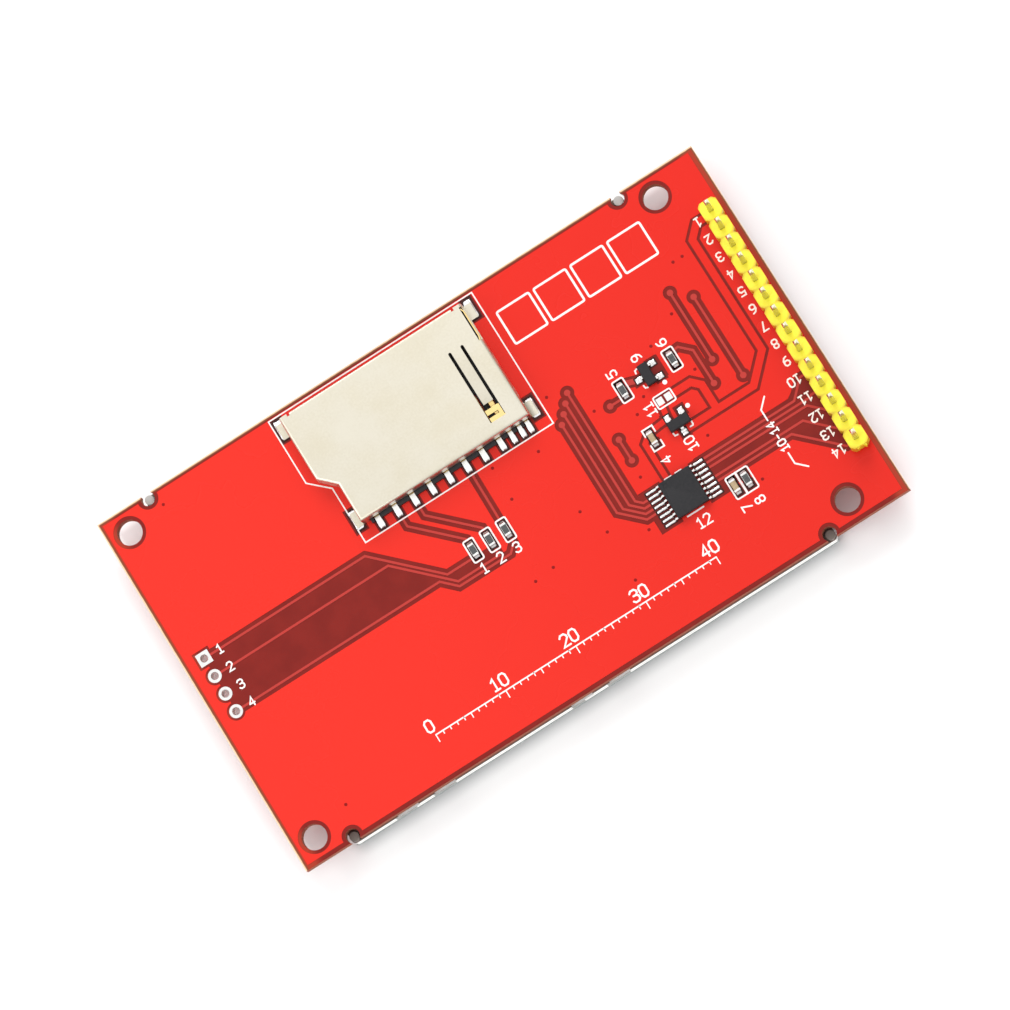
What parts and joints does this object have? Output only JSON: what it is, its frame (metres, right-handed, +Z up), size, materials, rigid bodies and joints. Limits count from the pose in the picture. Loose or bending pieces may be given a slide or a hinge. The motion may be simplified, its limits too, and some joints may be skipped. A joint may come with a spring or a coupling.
{
  "type": "display module",
  "caption": "Red circuit board with a colour display and resistive touch panel on the front, and a memory card socket, touch controller and yellow pin header on the back.",
  "frame": {"origin": "under the centre of the circuit board, on the plane that the touch panel's front face rests on", "axes": "+X along the board towards the pin header; +Y across the board towards the mouth of the card socket; +Z up, away from the display face towards the component side"},
  "size_m": [0.086, 0.05, 0.0133],
  "materials": {
    "laminate": "cut glass-fibre laminate, matt, darker where no copper lies under the lacquer",
    "lacquered_copper": "glossy red solder lacquer over copper",
    "white_print": "white printed ink on the board",
    "tinned_pad": "bright tinned copper",
    "header_plastic": "glossy yellow moulded plastic",
    "pin_metal": "bright tinned square wire",
    "solder": "shiny solder, slightly grainy",
    "sheet_metal": "satin nickel-plated sheet, warm grey",
    "socket_plastic": "matt black moulded plastic",
    "gold_contact": "gold-plated spring bronze",
    "chip_mould": "matt charcoal moulding compound with fine grain",
    "lead_metal": "bright tinned leads",
    "white_ceramic": "white alumina",
    "resistor_film": "glossy black overglaze",
    "tan_ceramic": "matt tan ceramic",
    "foam": "black foam tape",
    "frame_plastic": "white moulded plastic, satin",
    "reflector_film": "silvery reflector film",
    "clear_plastic": "clear acrylic",
    "white_film": "milky diffuser film",
    "prism_film": "clear prism film with a fine silvery sheen",
    "polariser": "dark grey polariser film, glossy",
    "display_glass": "display glass, polished, dark border",
    "silicon": "dark polished silicon",
    "lamp": "white lamp body with a yellow phosphor face",
    "flex": "amber polyimide over copper tracks",
    "black_adhesive": "black adhesive tape",
    "touch_glass": "clear conductive glass, faint blue-grey edge",
    "touch_film": "clear hard-coated film"
  },
  "bodies": {
    "root": {"circuit_board": "laminate", "copper_back": "lacquered_copper", "copper_front": "lacquered_copper", "contact_pads": "tinned_pad", "header_housing": "header_plastic", "header_pins": "pin_metal", "header_solder": "solder", "surface_solder": "solder", "card_socket_shell": "sheet_metal", "card_socket_base": "socket_plastic", "card_contacts": "gold_contact", "card_detect_leaf": "gold_contact", "write_lock_leaf": "gold_contact", "touch_controller_body": "chip_mould", "touch_controller_leads": "lead_metal", "regulator_body": "chip_mould", "regulator_leads": "lead_metal", "transistor_body": "chip_mould", "transistor_leads": "lead_metal", "resistor_bodies": "white_ceramic", "resistor_films": "resistor_film", "resistor_caps": "lead_metal", "capacitor_bodies": "tan_ceramic", "capacitor_caps": "lead_metal", "foam_tape": "foam", "backlight_frame": "frame_plastic", "reflector_sheet": "reflector_film", "light_guide": "clear_plastic", "lamp_strip": "flex", "backlight_lamps": "lamp", "diffuser_sheet": "white_film", "lower_prism_sheet": "prism_film", "upper_prism_sheet": "prism_film", "rear_polariser": "polariser", "lower_glass": "display_glass", "upper_glass": "display_glass", "front_polariser": "polariser", "driver_chip": "silicon", "display_flex": "flex", "flex_solder": "solder", "touch_gasket": "black_adhesive", "touch_glass": "touch_glass", "touch_spacer": "black_adhesive", "touch_film": "touch_film", "touch_flex": "flex"}
  },
  "joints": []
}
